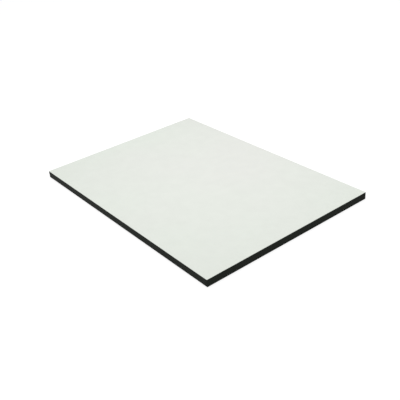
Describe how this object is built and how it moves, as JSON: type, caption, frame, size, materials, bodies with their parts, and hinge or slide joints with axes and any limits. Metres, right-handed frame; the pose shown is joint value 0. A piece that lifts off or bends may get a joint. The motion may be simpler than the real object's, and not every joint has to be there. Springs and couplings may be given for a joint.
{
  "type": "compact hpl cladding panel",
  "caption": "Flat rectangular compact laminate board: a pale decor sheet pressed onto a solid dark core, with square sawn edges, for facade cladding.",
  "frame": {"origin": "centre of the back of the board, in the plane that it lies on", "axes": "+X along the long side, +Y along the short side, +Z out of the decor face"},
  "size_m": [0.297, 0.21, 0.008],
  "materials": {
    "dark_phenolic_core": "matte",
    "pale_decor": "satin"
  },
  "bodies": {
    "root": {"kraft_core": "dark_phenolic_core", "decor_sheet": "pale_decor"}
  },
  "joints": []
}
